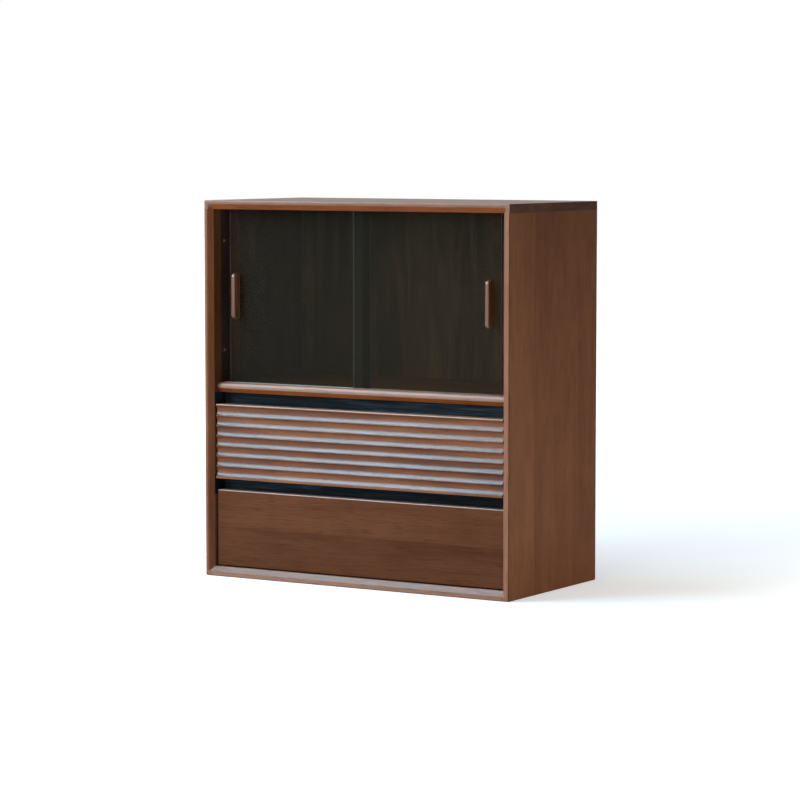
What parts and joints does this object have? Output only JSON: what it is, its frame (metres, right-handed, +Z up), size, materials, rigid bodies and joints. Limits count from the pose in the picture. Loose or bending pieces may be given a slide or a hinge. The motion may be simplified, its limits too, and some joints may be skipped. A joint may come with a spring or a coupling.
{
  "type": "storage cabinet",
  "caption": "Free-standing wooden storage cabinet with sliding glass doors over a coved drawer and a plain drawer, finger gaps for pulls and full-extension slides.",
  "frame": {"origin": "middle of the footprint on the floor", "axes": "+X to the right seen from the front, +Y to the back (the front faces -Y), +Z up"},
  "size_m": [0.8, 0.4, 0.86],
  "materials": {
    "case_wood": "satin lacquered brown hardwood",
    "back_wood": "satin lacquered brown veneer",
    "black_stained_wood": "black stained, open grain",
    "front_wood": "satin lacquered brown hardwood",
    "handle_wood": "satin lacquered brown hardwood",
    "box_wood": "clear lacquered pale plywood",
    "dowel_wood": "bare turned beech",
    "door_glass": "smoke tinted, polished edges",
    "track_plastic": "dark brown extruded plastic",
    "clear_bumper": "clear soft stud",
    "slide_steel": "bright zinc plated rolled steel",
    "retainer_steel": "zinc plated cage with steel balls"
  },
  "bodies": {
    "case": {"top_panel": "case_wood", "left_side_panel": "case_wood", "right_side_panel": "case_wood", "bottom_panel": "case_wood", "middle_shelf": "case_wood", "back_panel": "back_wood", "upper_gap_rail": "black_stained_wood", "lower_gap_rail": "black_stained_wood", "lower_glass_track": "track_plastic", "upper_glass_track": "track_plastic", "door_bumpers": "clear_bumper", "case_dowels": "dowel_wood", "upper_left_slide_case_member": "slide_steel", "upper_right_slide_case_member": "slide_steel", "lower_left_slide_case_member": "slide_steel", "lower_right_slide_case_member": "slide_steel"},
    "left_door": {"left_glass_pane": "door_glass", "left_door_handle": "handle_wood"},
    "right_door": {"right_glass_pane": "door_glass", "right_door_handle": "handle_wood"},
    "upper_drawer": {"louvered_drawer_front": "front_wood", "upper_box_left": "box_wood", "upper_box_right": "box_wood", "upper_box_front": "box_wood", "upper_box_back": "box_wood", "upper_box_bottom": "box_wood", "upper_left_slide_drawer_member": "slide_steel", "upper_right_slide_drawer_member": "slide_steel"},
    "lower_drawer": {"plain_drawer_front": "front_wood", "lower_box_left": "box_wood", "lower_box_right": "box_wood", "lower_box_front": "box_wood", "lower_box_back": "box_wood", "lower_box_bottom": "box_wood", "lower_left_slide_drawer_member": "slide_steel", "lower_right_slide_drawer_member": "slide_steel"},
    "upper_left_middle_member": {"upper_left_slide_middle_member": "slide_steel"},
    "upper_left_outer_retainer": {"upper_left_slide_outer_retainer": "retainer_steel"},
    "upper_left_inner_retainer": {"upper_left_slide_inner_retainer": "retainer_steel"},
    "upper_right_middle_member": {"upper_right_slide_middle_member": "slide_steel"},
    "upper_right_outer_retainer": {"upper_right_slide_outer_retainer": "retainer_steel"},
    "upper_right_inner_retainer": {"upper_right_slide_inner_retainer": "retainer_steel"},
    "lower_left_middle_member": {"lower_left_slide_middle_member": "slide_steel"},
    "lower_left_outer_retainer": {"lower_left_slide_outer_retainer": "retainer_steel"},
    "lower_left_inner_retainer": {"lower_left_slide_inner_retainer": "retainer_steel"},
    "lower_right_middle_member": {"lower_right_slide_middle_member": "slide_steel"},
    "lower_right_outer_retainer": {"lower_right_slide_outer_retainer": "retainer_steel"},
    "lower_right_inner_retainer": {"lower_right_slide_inner_retainer": "retainer_steel"}
  },
  "joints": [
    {"name": "left_door_slide", "type": "slide", "parent": "case", "child": "left_door", "axis": [1, 0, 0], "range_m": [-0.0128, 0.154]},
    {"name": "right_door_slide", "type": "slide", "parent": "case", "child": "right_door", "axis": [-1, 0, 0], "range_m": [-0.0208, 0.154]},
    {"name": "upper_drawer_slide", "type": "slide", "parent": "case", "child": "upper_drawer", "axis": [0, -1, 0], "range_m": [0, 0.3]},
    {"name": "lower_drawer_slide", "type": "slide", "parent": "case", "child": "lower_drawer", "axis": [0, -1, 0], "range_m": [0, 0.3]},
    {"name": "upper_left_middle_member_slide", "type": "slide", "parent": "case", "child": "upper_left_middle_member", "axis": [0, -1, 0], "range_m": [0, 0.15]},
    {"name": "upper_left_outer_retainer_slide", "type": "slide", "parent": "case", "child": "upper_left_outer_retainer", "axis": [0, -1, 0], "range_m": [0, 0.075]},
    {"name": "upper_left_inner_retainer_slide", "type": "slide", "parent": "case", "child": "upper_left_inner_retainer", "axis": [0, -1, 0], "range_m": [0, 0.225]},
    {"name": "upper_right_middle_member_slide", "type": "slide", "parent": "case", "child": "upper_right_middle_member", "axis": [0, -1, 0], "range_m": [0, 0.15]},
    {"name": "upper_right_outer_retainer_slide", "type": "slide", "parent": "case", "child": "upper_right_outer_retainer", "axis": [0, -1, 0], "range_m": [0, 0.075]},
    {"name": "upper_right_inner_retainer_slide", "type": "slide", "parent": "case", "child": "upper_right_inner_retainer", "axis": [0, -1, 0], "range_m": [0, 0.225]},
    {"name": "lower_left_middle_member_slide", "type": "slide", "parent": "case", "child": "lower_left_middle_member", "axis": [0, -1, 0], "range_m": [0, 0.15]},
    {"name": "lower_left_outer_retainer_slide", "type": "slide", "parent": "case", "child": "lower_left_outer_retainer", "axis": [0, -1, 0], "range_m": [0, 0.075]},
    {"name": "lower_left_inner_retainer_slide", "type": "slide", "parent": "case", "child": "lower_left_inner_retainer", "axis": [0, -1, 0], "range_m": [0, 0.225]},
    {"name": "lower_right_middle_member_slide", "type": "slide", "parent": "case", "child": "lower_right_middle_member", "axis": [0, -1, 0], "range_m": [0, 0.15]},
    {"name": "lower_right_outer_retainer_slide", "type": "slide", "parent": "case", "child": "lower_right_outer_retainer", "axis": [0, -1, 0], "range_m": [0, 0.075]},
    {"name": "lower_right_inner_retainer_slide", "type": "slide", "parent": "case", "child": "lower_right_inner_retainer", "axis": [0, -1, 0], "range_m": [0, 0.225]}
  ],
  "couplings": [
    {"joint": "upper_left_middle_member_slide", "follows": "upper_drawer_slide", "ratio": 0.5},
    {"joint": "upper_left_outer_retainer_slide", "follows": "upper_drawer_slide", "ratio": 0.25},
    {"joint": "upper_left_inner_retainer_slide", "follows": "upper_drawer_slide", "ratio": 0.75},
    {"joint": "upper_right_middle_member_slide", "follows": "upper_drawer_slide", "ratio": 0.5},
    {"joint": "upper_right_outer_retainer_slide", "follows": "upper_drawer_slide", "ratio": 0.25},
    {"joint": "upper_right_inner_retainer_slide", "follows": "upper_drawer_slide", "ratio": 0.75},
    {"joint": "lower_left_middle_member_slide", "follows": "lower_drawer_slide", "ratio": 0.5},
    {"joint": "lower_left_outer_retainer_slide", "follows": "lower_drawer_slide", "ratio": 0.25},
    {"joint": "lower_left_inner_retainer_slide", "follows": "lower_drawer_slide", "ratio": 0.75},
    {"joint": "lower_right_middle_member_slide", "follows": "lower_drawer_slide", "ratio": 0.5},
    {"joint": "lower_right_outer_retainer_slide", "follows": "lower_drawer_slide", "ratio": 0.25},
    {"joint": "lower_right_inner_retainer_slide", "follows": "lower_drawer_slide", "ratio": 0.75}
  ]
}
